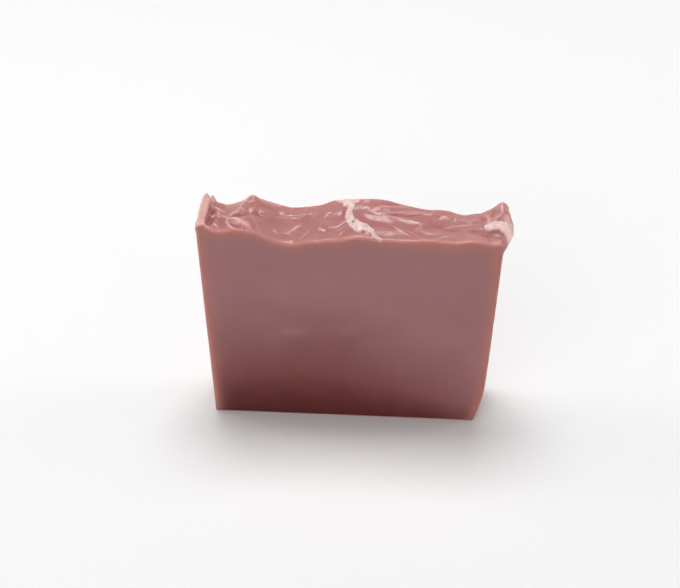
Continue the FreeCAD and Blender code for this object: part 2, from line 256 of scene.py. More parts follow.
# Small pits left by bubbles: (x, y), radius and depth
PITS = [
    ((3.3, -1.8), 0.70, 1.1), ((3.5, 5.0), 0.40, 0.6), ((6.5, -6.0), 0.45, 0.4),
    ((8.6, -6.6), 0.35, 0.4), ((32.2, 4.0), 0.35, 0.4), ((-16.2, -3.0), 0.25, 0.3),
    ((28.4, -5.0), 0.25, 0.3),
]

# The step at the front of the flap on the ear: its line, rise and half width
FLAP_LINE = [
    (48.0, -8.4), (47.8, -6.8), (47.0, -4.8), (45.8, -3.5), (44.4, -3.1), (43.0, -2.7),
    (42.0, -1.6), (41.6, 0.4), (41.3, 3.0),
]
FLAP_RISE = 0.9
FLAP_STEP = 0.3
FLAP_REACH = 6.0
FLAP_FRONT_FADE = (-9.0, -5.0)
FLAP_BACK_FADE = (1.5, 6.5)

# Faint pale marks of a wipe on the front cut: strength, half width, line of (x, z)
WIPES = [
    (0.42, 2.2, [(-25.0, 32.0), (-16.0, 34.0), (-8.0, 33.5)]),
    (0.36, 1.8, [(-9.0, 35.0), (-1.0, 36.5), (7.0, 35.5)]),
]

# Rounded edges
MOULD_CORNER_RADIUS = 0.9
SIDE_EDGE_RADIUS = 1.1
TOP_EDGE_RADIUS = 0.7
BASE_EDGE_RADIUS = 0.6

# How much lighter the ridges are painted, a painted highlight, and how much darker the creases, a
# painted shade, for each millimetre
RIDGE_HIGHLIGHT_SHARE = 1.9
CREASE_SHADE_SHARE = 1.1

# The zones that the colours and the shine follow, kept as attributes of the points
ZONE_NAMES = ("poured", "glassy", "crust_and_sheen", "pale", "deep", "pit", "rim", "cut", "smudge")

# The chance drift of the wrinkles, and the ragged edge of the crust
DRIFT_SCALE = 0.3
DRIFT_REACH = 0.45
RAGGED_SCALE = 0.8
RAGGED_FINE_SCALE = 2.2
RAGGED_FINE_SHARE = 0.3
PATCH_RAGGEDNESS = 0.45
PATCH_REACH = 4.0
PATCH_EDGE = (0.80, 1.20)

# The chance relief of the skin: dents, raised lines, fine lines and grain, and how far
# the glints are free of it
DENT_RISE = 0.09
WEB_RISE = 0.09
FINE_WEB_RISE = 0.035
GRAIN_RISE = 0.008
GLINT_CALM = 0.85

# How deep the light reaches in from the cut edges, and between which places across and
# up it reaches deeper, near the right end of the top edge
RIM_DEPTH = 1.2
RIM_SPREAD = 1.0
RIM_SPREAD_ACROSS = (5, 35)
RIM_SPREAD_UP = (58, 66)

# The shallow hollows of the cuts: their depth, and how they start from the edges
CUT_WAVES = 0.15
CUT_WAVE_SCALE = 0.07
CUT_WAVE_FADE = (0, 6)

# The walls: how deep their waves and creases are, the heights between which these
# start above the base, and how much their points crowd towards both ends
WALL_WAVES = 0.14
WALL_CREASES = 0.07
WALL_FADE = (1.5, 6.0)
WALL_CROWDING = 0.11

# The zone of the lip painted paler as a painted glow and highlight, in points of the outline before and
# after its crest
LIP_PALE_BEFORE = 6
LIP_PALE_AFTER = 22
LIP_PALE_FADE = 8
LIP_MOTTLE_SCALE = 0.7

# How softly the form is held inside the solid, at its sides and at its top
SIDE_EASE = 0.4
TOP_EASE = 0.6

# How fast a cut's satin sets in over its rounded edge, and how many points to each side
# give the direction of the outline there
CUT_FADE_POWER = 1.5
EDGE_REACH = 4

# The least run between neighbouring points of the outline along the top of the cuts
LEAST_RUN = 0.01

# How finely the mesh is divided, and the rows of a cut face where its columns halve
THROUGH_CELLS = 78
EDGE_CELLS = 5
LIP_CELLS = 34
MIDDLE_CELLS = 340
EAR_CELLS = 50
LIP_WALL_CELLS = 12
WALL_CELLS = 34
CORNER_CELLS = 4
BASE_CELLS = 53
SECTION_SAMPLES = 61
HALVING_ROWS = (6, 12, 20)

# How bright the white surroundings are, near the floor and overhead
SKY_LOW = 1.0
SKY_HIGH = 0.15
SKY_FADE = (0.05, 0.6)

# The lamps: name, place, target and size in metres, and watts
LAMPS = [
    ("overhead", (-0.03, 0.22, 0.88), (0, 0, 0.05), (0.44, 0.34), 4.5),
    ("front fill", (-0.3, -0.8, 0.7), (0, 0, 0.04), (0.8, 0.8), 2.2),
    ("left side", (-0.65, 0.14, 0.40), (0, 0, 0.04), (0.3, 0.4), 1.0),
    ("right side", (0.65, 0.14, 0.40), (0, 0, 0.04), (0.3, 0.4), 0.8),
]

# The floor in metres: its reach, and where it turns white for the camera. Its tone is
# darker for the light that it throws back than for the eye.
FLOOR_REACH = 3.0
WHITE_FROM = 0.16
WHITE_TO = 0.60
FLOOR_TONE = (0.52, 0.52, 0.52, 1)
FLOOR_SEEN = (0.96, 0.96, 0.96, 1)

# Colours of the soap, with painted shade and painted light among them
BODY_LOW = (0.46, 0.20, 0.205)
BODY_HIGH = (0.49, 0.22, 0.225)
# Painted shade: the cut faces are painted darker and redder low in the middle
LOW_SHADE = (0.235, 0.030, 0.022)
# Painted shade: darker still at the foot of the cuts
FOOT_SHADE = (0.13, 0.014, 0.012)
SMUDGE = (0.56, 0.30, 0.30)
# Painted glow: warm light through the thin cut edges, painted into the colour
RIM = (0.63, 0.25, 0.205)
MOULD_LOW = (0.41, 0.18, 0.175)
MOULD_HIGH = (0.46, 0.205, 0.20)
SKIN_LOW = (0.47, 0.20, 0.19)
SKIN_HIGH = (0.52, 0.24, 0.23)
# Painted glow of light through the cut edges of the top
SKIN_RIM = (0.66, 0.33, 0.29)
# Painted highlight on ridges, on the thin lip and along some edges
SKIN_PAINTED_LIGHT = (0.71, 0.43, 0.39)
# A pale crust, partly real and partly a painted reflection of the overhead lamp
CRUST_AND_SHEEN = (0.86, 0.68, 0.655)
# Painted shade in the creases and hollows of the top
SKIN_CREASE_SHADE = (0.43, 0.13, 0.11)
# Painted shade inside the pits
PIT_SHADE = (0.12, 0.05, 0.05)

# The painted shade low in the cuts, in metres: its middle, how it rises away from there,
# how it wanders, and the heights between which it and the darker painted shade at the foot fade out
LOW_SHADE_MIDDLE = -0.016
LOW_SHADE_CURVE = 8.0
LOW_SHADE_WANDER = 0.012
LOW_SHADE_FADE = (0.013, 0.057)
FOOT_SHADE_CURVE_SHARE = 0.3
FOOT_SHADE_FADE = (0.004, 0.022)

# Shine: roughness of the cuts and the walls, of the wet top, and what changes it there
DULL_ROUGHNESS = (0.36, 0.46)
WET_ROUGHNESS = (0.17, 0.27)
GLASSY_SHARE = -0.03
CRUST_SHARE = 0.15
SOAP_IOR = 1.47

# Fine bumps in metres: drag lines with some grain on the cuts, and skin on the top
DRAG_BUMP = 0.00010
DRAG_GRAIN = 0.4
SKIN_BUMP = 0.00003

# How far light spreads inside the soap: red, green and blue shares, and metres
SPREAD_SHARES = (1.0, 0.42, 0.32)
SPREAD_DEPTH = 0.003

# The camera, from the photograph's viewing angle
CAMERA_PLACE = (28.54, -358.76, 329.49)
CAMERA_FORWARD = (-0.06463, 0.77994, -0.62251)
CAMERA_UP = (-0.03514, 0.62165, 0.78250)
CAMERA_LENS = 79.23
SENSOR_WIDTH = 36.0


def smooth_values(knots, places):
    """Values at several places of the smooth curve through (place, value) knots."""
    spots = np.array([knot[0] for knot in knots], float)
    values = np.array([knot[1] for knot in knots], float)
    places = np.asarray(places, float)
    last = len(spots) - 1
    index = np.clip(np.searchsorted(spots, places, side="right") - 1, 0, last - 1)
    before = np.maximum(index - 1, 0)
    after = np.minimum(index + 2, last)
    step = spots[index + 1] - spots[index]
    low = values[index]
    high = values[index + 1]
    slope_in = (high - values[before]) / (spots[index + 1] - spots[before]) * step
    slope_out = (values[after] - low) / (spots[after] - spots[index]) * step
    t = np.clip((places - spots[index]) / step, 0, 1)
    rise = (3 - 2 * t) * t * t
    return low + (high - low) * rise + slope_in * t * (1 - t) ** 2 - slope_out * t * t * (1 - t)


def smooth_line(points, steps_a_run=8):
    """A rounder line through a few (x, y) points."""
    if len(points) < 3:
        return np.array(points, float)
    places = np.linspace(0, len(points) - 1, steps_a_run * (len(points) - 1) + 1)
    xs = smooth_values(list(enumerate(point[0] for point in points)), places)
    ys = smooth_values(list(enumerate(point[1] for point in points)), places)
    return np.stack([xs, ys], axis=1)


def line_distance(xs, ys, line):
    """Distance to a line, the share along it, and which side: positive on the right."""
    nearest = np.full(xs.shape, np.inf)
    along = np.zeros(xs.shape)
    side = np.ones(xs.shape)
    runs = len(line) - 1
    for index in range(runs):
        ax, ay = line[index]
        run_x, run_y = line[index + 1] - line[index]
        share = ((xs - ax) * run_x + (ys - ay) * run_y) / (run_x ** 2 + run_y ** 2)
        share = np.clip(share, 0, 1)
        off_x = xs - ax - share * run_x
        off_y = ys - ay - share * run_y
        gap = np.hypot(off_x, off_y)
        closer = gap < nearest
        nearest = np.where(closer, gap, nearest)
        along = np.where(closer, (index + share) / runs, along)
        side = np.where(closer, np.sign(off_x * run_y - off_y * run_x), side)
    return nearest, along, side


def rim(sections, through, wall_x, positions):
    """A line of (x, z) points on the lip or the ear at one share of the thickness."""
    count = len(sections[0][1])
    reaches = []
    rises = []
    for index in range(count):
        reaches.append(float(smooth_values([(s, row[index][0]) for s, row in sections], through)))
        rises.append(float(smooth_values([(s, row[index][1]) for s, row in sections], through)))
    xs = wall_x + smooth_values(list(enumerate(reaches)), positions)
    zs = TOP_HEIGHT + smooth_values(list(enumerate(rises)), positions)
    return xs, zs


def poured_height(xs, through):
    """The height of the poured top between its two cut edges, before the wrinkles."""
    across = (xs - LEFT_TOP) / TOP_WIDTH
    front = smooth_values(FRONT_EDGE, across)
    back = smooth_values(BACK_EDGE, across)
    return TOP_HEIGHT + front + (back - front) * through


def fillet(corner, towards_wall, towards_base, radius, cells):
    """Points round a corner of the mould, from the wall to the base."""
    opening = math.acos(float(np.dot(towards_wall, towards_base)))
    middle = towards_wall + towards_base
    middle = middle / np.linalg.norm(middle)
    centre = corner + middle * radius / math.sin(opening / 2)
    reach = radius / math.tan(opening / 2)
    start = corner + towards_wall * reach - centre
    end = corner + towards_base * reach - centre
    first = math.atan2(start[1], start[0])
    turn = math.atan2(end[1], end[0]) - first
    turn = (turn + math.pi) % (2 * math.pi) - math.pi
    angles = first + turn * np.linspace(0, 1, 2 * cells + 1)
    return centre + radius * np.stack([np.cos(angles), np.sin(angles)], axis=1)


def wall_line(points, cells):
    """Points spaced along a wall, closer together near both of its ends."""
    points = np.array(points, float)
    lengths = np.concatenate([[0], np.cumsum(np.linalg.norm(np.diff(points, axis=0), axis=1))])
    shares = np.linspace(0, 1, cells + 1)
    shares = shares + WALL_CROWDING * np.sin(2 * math.pi * (shares - 0.5))
    spots = shares * lengths[-1]
    return np.stack([np.interp(spots, lengths, column) for column in points.T], axis=1)


def right_wall_shape():
    """The right wall from the ear down to the base, with its bend, as fine points."""
    chord_start = np.array([BEND_TOP, BEND_HEIGHT])
    chord_end = np.array([HALF_BASE, 0.0])
    across = np.array([chord_start[1] - chord_end[1], chord_end[0] - chord_start[0]])
    across = across / np.linalg.norm(across)
    points = [np.array([RIGHT_TOP, RIGHT_WALL_HEIGHT])]
    for share in np.linspace(0, 1, 17):
        swell = BEND_SWELL * 4 * share * (1 - share)
        points.append(chord_start + (chord_end - chord_start) * share + across * swell)
    return points


def section_loop(through):
    """One section's outline from the left base corner over the top and back, with the
    places of its four corners."""
    left_base = np.array([-HALF_BASE, 0.0])
    left_top = np.array([LEFT_TOP, LEFT_WALL_HEIGHT])
    up_left = (left_top - left_base) / np.linalg.norm(left_top - left_base)
    left_round = fillet(left_base, up_left, np.array([1.0, 0.0]), MOULD_CORNER_RADIUS, CORNER_CELLS)
    right_shape = right_wall_shape()
    right_base = np.array([HALF_BASE, 0.0])
    up_right = (right_shape[-2] - right_base) / np.linalg.norm(right_shape[-2] - right_base)
    right_round = fillet(right_base, up_right, np.array([-1.0, 0.0]), MOULD_CORNER_RADIUS, CORNER_CELLS)

    # The left wall, from the middle of its base corner up to the lip
    left = [left_round[CORNER_CELLS::-1][:-1]]
    left.append(wall_line([left_round[0], left_top], WALL_CELLS))
    lip_x, lip_z = rim(LIP_SECTIONS, through, LEFT_TOP, np.linspace(0, 2, LIP_WALL_CELLS + 1))
    left.append(np.stack([lip_x, lip_z], axis=1))

    # The poured top, over the lip, across the middle and over the ear
    lip_last = len(LIP_SECTIONS[0][1]) - 1
    lip_x, lip_z = rim(LIP_SECTIONS, through, LEFT_TOP, np.linspace(2, lip_last, LIP_CELLS + 1))
    ear_x, ear_z = rim(EAR_SECTIONS, through, RIGHT_TOP, np.linspace(0, 3, EAR_CELLS + 1))
    middle_x = np.linspace(lip_x[-1], ear_x[0], MIDDLE_CELLS + 1)
    middle_z = poured_height(middle_x, through)
    lip_z = lip_z + (middle_z[0] - lip_z[-1]) * np.linspace(0, 1, LIP_CELLS + 1) ** 3
    ear_z = ear_z + (middle_z[-1] - ear_z[0]) * np.linspace(1, 0, EAR_CELLS + 1) ** 3
    top = [np.stack([lip_x, lip_z], axis=1)[1:]]
    top.append(np.stack([middle_x, middle_z], axis=1)[1:])
    top.append(np.stack([ear_x, ear_z], axis=1)[1:])

    # The right wall, from under the ear down to the middle of its base corner
    ear_last = len(EAR_SECTIONS[0][1]) - 1
    ear_x, ear_z = rim(EAR_SECTIONS, through, RIGHT_TOP, np.linspace(3, ear_last, LIP_WALL_CELLS + 1))
    right = [np.stack([ear_x, ear_z], axis=1)[1:]]
    shape = [point for point in right_shape if point[1] > right_round[0][1]]
    right.append(wall_line(shape + [right_round[0]], WALL_CELLS))
    right.append(right_round[1:CORNER_CELLS + 1])

    # The base, from right to left
    start = right_round[CORNER_CELLS + 1:]
    end = left_round[:CORNER_CELLS:-1]
    flat_cells = BASE_CELLS - 2 * CORNER_CELLS
    flat = np.linspace(start[-1], end[0], flat_cells + 1)[1:-1]
    loop = np.concatenate(left + top + right + [start, flat, end])
    left_count = sum(len(part) for part in left)
    top_count = sum(len(part) for part in top)
    right_count = sum(len(part) for part in right)
    corners = [0, left_count - 1, left_count + top_count - 1, left_count + top_count + right_count - 1]
    return loop, corners


def fade(values, start, end):
    """0 before start, 1 after end, and smooth between."""
    t = np.clip((values - start) / (end - start), 0, 1)
    return (3 - 2 * t) * t * t


def bump(gap, half_width):
    """A rounded profile: 1 on a line and 0 from its half width outwards."""
    return np.clip(1 - (gap / half_width) ** 2, 0, 1) ** 2


def near_line(xs, ys, points, reach):
    """The points within reach of a line: their numbers, their distances to it, the
    shares along it and their sides."""
    line = smooth_line(points)
    low = line.min(axis=0) - reach
    high = line.max(axis=0) + reach
    inside = (xs > low[0]) & (xs < high[0]) & (ys > low[1]) & (ys < high[1])
    chosen = np.flatnonzero(inside)
    gap, along, side = line_distance(xs[chosen], ys[chosen], line)
    return chosen, gap, along, side


def chance(xs, ys, scale, layer):
    """Smooth chance values at places of the top. Each layer holds other values."""
    return np.array([noise.noise(Vector((x * scale, y * scale, layer))) for x, y in zip(xs, ys)])


def shape_top(xs, ys, zs):
    """Shape the poured top, given as a grid of points. Returns its heights and its
    glassy places, its crusted places with a painted sheen, its pale places of painted highlight, its
    deep places of painted shade and its pitted places."""
    shape = xs.shape
    xs = xs.ravel()
    ys = ys.ravel()
    zs = zs.ravel().copy()
    calm = np.zeros(xs.shape)
    crust_and_sheen = np.zeros(xs.shape)
    lift = np.zeros(xs.shape)
    pale = np.zeros(xs.shape)
    deep = np.zeros(xs.shape)
    dark = np.zeros(xs.shape)
    ragged = chance(xs, ys, RAGGED_SCALE, 5.2)
    ragged = ragged + RAGGED_FINE_SHARE * chance(xs, ys, RAGGED_FINE_SCALE, 1.4)
    wx = xs + DRIFT_REACH * chance(xs, ys, DRIFT_SCALE, 3.1)
    wy = ys + DRIFT_REACH * chance(xs, ys, DRIFT_SCALE, 7.7)
    for rise, half_width, points in SWELLS:
        chosen, gap, _, _ = near_line(wx, wy, points, half_width)
        zs[chosen] += rise * bump(gap, half_width)
        # Hollows are painted darker, a painted shade
        deep[chosen] = np.maximum(deep[chosen], -CREASE_SHADE_SHARE * rise * bump(gap, half_width))
    chosen, gap, _, side = near_line(wx, wy, FLAP_LINE, FLAP_REACH)
    step = fade(gap * side, -FLAP_STEP, FLAP_STEP) * (1 - fade(wy[chosen], *FLAP_BACK_FADE))
    step = step * (1 - fade(gap, FLAP_REACH / 2, FLAP_REACH)) * fade(wy[chosen], *FLAP_FRONT_FADE)
    on_flap = np.ones(xs.shape)
    on_flap[chosen] = fade(gap * side, -0.2 * FLAP_STEP, 0.6 * FLAP_STEP)
    zs[chosen] += FLAP_RISE * step
    for share, rise, spots in PATCHES:
        points = [(x, y) for x, y, half_width in spots]
        widths = list(enumerate(half_width for x, y, half_width in spots))
        chosen, gap, along, _ = near_line(xs, ys, points, PATCH_REACH)
        gap = gap * (1 + PATCH_RAGGEDNESS * ragged[chosen])
        gap = gap / smooth_values(widths, along * (len(spots) - 1))
        inside = (1 - fade(gap, *PATCH_EDGE)) * on_flap[chosen]
        crust_and_sheen[chosen] = np.maximum(crust_and_sheen[chosen], share * inside)
        lift[chosen] = np.maximum(lift[chosen], rise * inside)
    zs += lift
    for rise, half_width, points in WRINKLES:
        chosen, gap, along, _ = near_line(wx, wy, points, half_width)
        taper = np.sqrt(np.clip(np.sin(math.pi * (0.05 + 0.9 * along)), 0, 1))
        shift = rise * taper * bump(gap, half_width)
        zs[chosen] += shift
        # Ridges are painted paler, a painted highlight, and creases darker, a painted shade
        pale[chosen] = np.maximum(pale[chosen], RIDGE_HIGHLIGHT_SHARE * shift)
        deep[chosen] = np.maximum(deep[chosen], -CREASE_SHADE_SHARE * shift)
    for rise, half_width, points in (LIP_GROOVE, LIP_TIP):
        chosen, gap, along, _ = near_line(xs, ys, points, half_width)
        shift = rise * (1 - fade(along, 0.5, 1)) * bump(gap, half_width)
        zs[chosen] += shift
        pale[chosen] = np.maximum(pale[chosen], RIDGE_HIGHLIGHT_SHARE * shift)
    depths = np.gradient(ys.reshape(shape), axis=0)
    slopes = (np.gradient(zs.reshape(shape), axis=0) / np.maximum(depths, 1e-6)).ravel()
    for half_width, points in GLINTS:
        chosen, gap, along, side = near_line(xs, ys, points, 2 * half_width)
        taper = np.clip(np.sin(math.pi * along), 0, 1)
        inside = taper * (1 - fade(gap, 0.4 * half_width, 1.4 * half_width))
        zs[chosen] -= (GLINT_SLOPE - slopes[chosen]) * gap * side * inside
        calm[chosen] = np.maximum(calm[chosen], inside)
    for (x, y), radius, depth in PITS:
        gap = np.hypot(xs - x, ys - y)
        zs -= depth * bump(gap, radius)
        # The pits are painted dark, a painted shade
        dark = np.maximum(dark, bump(gap, radius))
    for share, half_width, points in PAINTED_LIGHT_LINES:
        chosen, gap, _, _ = near_line(wx, wy, points, half_width)
        pale[chosen] = np.maximum(pale[chosen], share * bump(gap, half_width))
    pale = np.clip(pale * (1 + 0.5 * ragged), 0, 1)
    crust_and_sheen = crust_and_sheen * np.clip(0.92 - 0.25 * ragged, 0, 1)
    return [values.reshape(shape) for values in (zs, calm, crust_and_sheen, pale, np.clip(deep, 0, 1), dark)]


def fine_relief(points):
    """The chance wrinkles of the skin, as a rise along its normal: soft dents, a web
    of thin raised lines that comes and goes, and a faint grain."""
    rises = np.zeros(len(points))
    for index, (x, y, z) in enumerate(points):
        spot = Vector((x, y, z))
        drift = noise.noise_vector(spot * 0.16) * 2.0
        dents = noise.noise((spot + drift) * 0.30 + Vector((4, 1, 6)))
        web = noise.noise((spot + drift) * 0.26)
        fine_web = noise.noise((spot + drift) * 0.62 + Vector((9, 4, 2)))
        here = min(max(noise.noise(spot * 0.11 + Vector((2, 7, 3))) * 2.5 + 0.5, 0), 1)
        grain = noise.noise(spot * 2.2)
        rises[index] = (DENT_RISE * dents + WEB_RISE * here * math.exp(-(web / 0.10) ** 2)
                        + FINE_WEB_RISE * math.exp(-(fine_web / 0.12) ** 2) + GRAIN_RISE * grain)
    return rises


def wall_relief(points):
    """The depth of the shallow waves and creases that the mould leaves in the walls."""
    depths = np.zeros(len(points))
    for index, (x, y, z) in enumerate(points):
        spot = Vector((x, y, z))
        waves = noise.noise(spot * 0.10 + Vector((5, 2, 8)))
        crease = noise.noise(Vector((x * 0.05, y * 0.16, z * 0.05)) + Vector((1, 9, 4)))
        creases = math.exp(-(crease / 0.05) ** 2)
        depths[index] = WALL_WAVES * (0.5 + 0.5 * waves) + WALL_CREASES * creases
    return np.clip(depths, 0, None)


def ease_under(values, limit, ease):
    """Hold values under a limit, easing in to it instead of cutting off."""
    over = np.maximum(values - (limit - ease), 0)
    return np.where(over > 0, limit - ease + ease * np.tanh(over / ease), values)


def edge_radii(places, corners):
    """The radius of the rounded cut edge at each point of the outline. It is smaller
    over the top and at the base, with fades that are counted in points."""
    left_top, right_top, base_start = corners[1:]
    over_top = fade(places, left_top - 10, left_top + 4)
    over_top = over_top * (1 - fade(places, right_top - 8, right_top + 8))
    radius = SIDE_EDGE_RADIUS + (TOP_EDGE_RADIUS - SIDE_EDGE_RADIUS) * over_top
    to_base = np.maximum(fade(places, base_start - 6, base_start), 1 - fade(places, 0, 6))
    return radius + (BASE_EDGE_RADIUS - radius) * to_base


def sweep():
    """The rows of the plain sweep from the front cut to the back cut, the corners of
    its outline, the radii of its cut edges, and how far each point moves in there."""
    half = THICKNESS / 2
    sections = []
    for share in np.linspace(0, 1, SECTION_SAMPLES):
        loop, corners = section_loop(share)
        sections.append(loop)
    sections = np.array(sections)
    places = np.arange(sections.shape[1])
    radius = edge_radii(places, corners)
    angles = np.linspace(math.pi / 2, 0, EDGE_CELLS + 1)
    front_rows = [(-half + radius * (1 - math.sin(a)), radius * (1 - math.cos(a))) for a in angles]
    middle_rows = []
    for step in range(1, THROUGH_CELLS):
        y = (radius - half) + (THICKNESS - 2 * radius) * step / THROUGH_CELLS
        middle_rows.append((y, np.zeros(len(places))))
    back_rows = [(-y, inset) for y, inset in reversed(front_rows)]
    rows = front_rows + middle_rows + back_rows
    y_rows = np.array([y for y, inset in rows])
    insets = np.array([inset for y, inset in rows])
    spots = np.clip(y_rows / THICKNESS + 0.5, 0, 1) * (SECTION_SAMPLES - 1)
    below = np.minimum(spots.astype(int), SECTION_SAMPLES - 2)
    share = (spots - below)[:, :, None]
    flat = sections[below, places] * (1 - share) + sections[below + 1, places] * share
    grid = np.stack([flat[:, :, 0], y_rows, flat[:, :, 1]], axis=2)
    return grid, corners, radius, insets


def pour_top(grid, corners, zones):
    """Shape the poured top of the rows, with the lip and the ear, and fill in its
    zones. Fades along the outline are counted in its points."""
    left_top, right_top = corners[1:3]
    places = np.arange(grid.shape[1])
    poured = fade(places, left_top - 12, left_top - 3)
    poured = poured * (1 - fade(places, right_top + 2, right_top + 12))
    inner = poured > 0
    part = grid[:, inner]
    zs, *shaped = shape_top(part[:, :, 0], part[:, :, 1], part[:, :, 2])
    grid[:, inner, 2] += (zs - part[:, :, 2]) * poured[inner]
    zones["poured"][:] = poured
    for name, values in zip(("glassy", "crust_and_sheen", "pale", "deep", "pit"), shaped):
        zones[name][:, inner] = values

    # The thin lip is painted paler, a painted glow and highlight, with a mottle
    start = left_top - LIP_PALE_BEFORE
    end = left_top + LIP_PALE_AFTER
    over_lip = fade(places, start, left_top + 1) * (1 - fade(places, end - LIP_PALE_FADE, end))
    mottle = np.array([[noise.noise(Vector(point) * LIP_MOTTLE_SCALE) for point in row[start:end]]
                       for row in grid])
    lip_painted_light = over_lip[start:end] * np.clip(0.85 + 0.5 * mottle, 0, 1)
    zones["pale"][:, start:end] = np.maximum(zones["pale"][:, start:end], lip_painted_light)


def add_relief(grid, zones):
    """Raise the small wrinkles of the top and press the waves of the mould into the
    walls, both along the normals of the larger form."""
    along_y = np.gradient(grid, axis=0)
    along_x = (np.roll(grid, -1, axis=1) - np.roll(grid, 1, axis=1)) / 2
    normals = np.cross(along_x, along_y)
    normals /= np.maximum(np.linalg.norm(normals, axis=2, keepdims=True), 1e-9)
    poured = zones["poured"][0]
    inner = poured > 0
    part = grid[:, inner]
    quiet = 1 - GLINT_CALM * zones["glassy"][:, inner]
    rises = fine_relief(part.reshape(-1, 3)).reshape(part.shape[:2]) * poured[inner] * quiet
    grid[:, inner] += normals[:, inner] * rises[:, :, None]
    outer = poured < 1
    part = grid[:, outer]
    wall = (1 - poured[outer]) * fade(part[:, :, 2], *WALL_FADE)
    dents = wall_relief(part.reshape(-1, 3)).reshape(part.shape[:2]) * wall
    grid[:, outer] -= normals[:, outer] * dents[:, :, None]


def round_edges(grid, corners, insets):
    """Shrink the outline towards both cut faces, and hold the form inside the solid."""
    ahead = np.roll(grid, -EDGE_REACH, axis=1) - np.roll(grid, EDGE_REACH, axis=1)
    inward = np.stack([ahead[:, :, 2], np.zeros(ahead.shape[:2]), -ahead[:, :, 0]], axis=2)
    inward /= np.maximum(np.linalg.norm(inward, axis=2, keepdims=True), 1e-9)
    grid += inward * insets[:, :, None]
    grid[:, :, 0] = ease_under(grid[:, :, 0], BAR_HIGH[0], SIDE_EASE)
    grid[:, :, 0] = -ease_under(-grid[:, :, 0], -BAR_LOW[0], SIDE_EASE)
    grid[:, :, 2] = ease_under(grid[:, :, 2], BAR_HIGH[2], TOP_EASE)
    grid[:, :, 2] = np.maximum(grid[:, :, 2], BAR_LOW[2])
    grid[:, :, 1] = np.clip(grid[:, :, 1], BAR_LOW[1], BAR_HIGH[1])

    # Where a narrow ridge meets the rounded edge its outline would fold over
    left_top, right_top = corners[1:3]
    tops = np.arange(left_top, right_top - 8)
    shift = LEAST_RUN * np.arange(len(tops))
    for row in list(range(EDGE_CELLS + 1)) + list(range(len(grid) - EDGE_CELLS - 1, len(grid))):
        grid[row, tops, 0] = np.maximum.accumulate(grid[row, tops, 0] - shift) + shift
    grid[0, :, 1] = BAR_LOW[1]
    grid[-1, :, 1] = BAR_HIGH[1]


def skin():
    """The finished rows from the front cut to the back cut, the corners of their
    outline, and the zones of their points."""
    grid, corners, radius, insets = sweep()
    zones = {name: np.zeros(grid.shape[:2]) for name in ZONE_NAMES}
    pour_top(grid, corners, zones)
    add_relief(grid, zones)
    round_edges(grid, corners, insets)
    zones["rim"] = np.exp(-(THICKNESS / 2 - np.abs(grid[:, :, 1])) / RIM_DEPTH)
    zones["cut"] = (insets / radius) ** CUT_FADE_POWER
    return grid, corners, zones


def cut_face(outline, corners, cells_down):
    """A grid over a cut face whose columns halve on the way down. Returns the new
    points and the faces, which count the outline's own points first."""
    count = len(outline)
    i0, i1, i2, i3 = corners
    left = list(range(i0, i1 + 1))
    top = list(range(i1, i2 + 1))
    right = list(range(i3, i2 - 1, -1))
    bottom = [0] + list(range(count - 1, i3 - 1, -1))
    points = []
    faces = []

    def along(border, across):
        """The point at a share of a border."""
        shares = np.linspace(0, 1, len(border))
        return np.array([np.interp(across, shares, outline[border, axis]) for axis in range(3)])

    def spot(across, level):
        """The place inside the four borders of a share across and a level up."""
        up = level / cells_down
        low = along(bottom, across)
        high = along(top, across)
        west = outline[left[level]]
        east = outline[right[level]]
        flat = (1 - across) * ((1 - up) * outline[i0] + up * outline[i1])
        flat = flat + across * ((1 - up) * outline[i3] + up * outline[i2])
        return (1 - up) * low + up * high + (1 - across) * west + across * east - flat

    upper = top
    columns = len(top) - 1
    for level in range(cells_down - 1, -1, -1):
        drop = cells_down - level
        merged = 2 if drop in HALVING_ROWS else 1
        new_columns = columns // merged
        if level == 0:
            lower = bottom
        else:
            lower = [left[level]]
            for column in range(1, new_columns):
                lower.append(count + len(points))
                points.append(spot(column / new_columns, level))
            lower.append(right[level])
        for column in range(new_columns):
            above = upper[merged * column:merged * (column + 1) + 1]
            faces.append([lower[column], lower[column + 1]] + above[::-1])
        upper = lower
        columns = new_columns
    return np.array(points), faces


def wiped(xs, zs):
    """The faint pale marks that a wipe left across the front cut."""
    marks = np.zeros(xs.shape)
    streaks = np.array([noise.noise(Vector((x * 0.22, 0, z * 0.9))) for x, z in zip(xs, zs)])
    for strength, half_width, points in WIPES:
        chosen, gap, along, _ = near_line(xs, zs, points, half_width)
        taper = np.clip(np.sin(math.pi * along), 0, 1)
        marks[chosen] = np.maximum(marks[chosen], strength * taper * bump(gap, half_width))
    return marks * np.clip(0.8 + 0.6 * streaks, 0, 1)


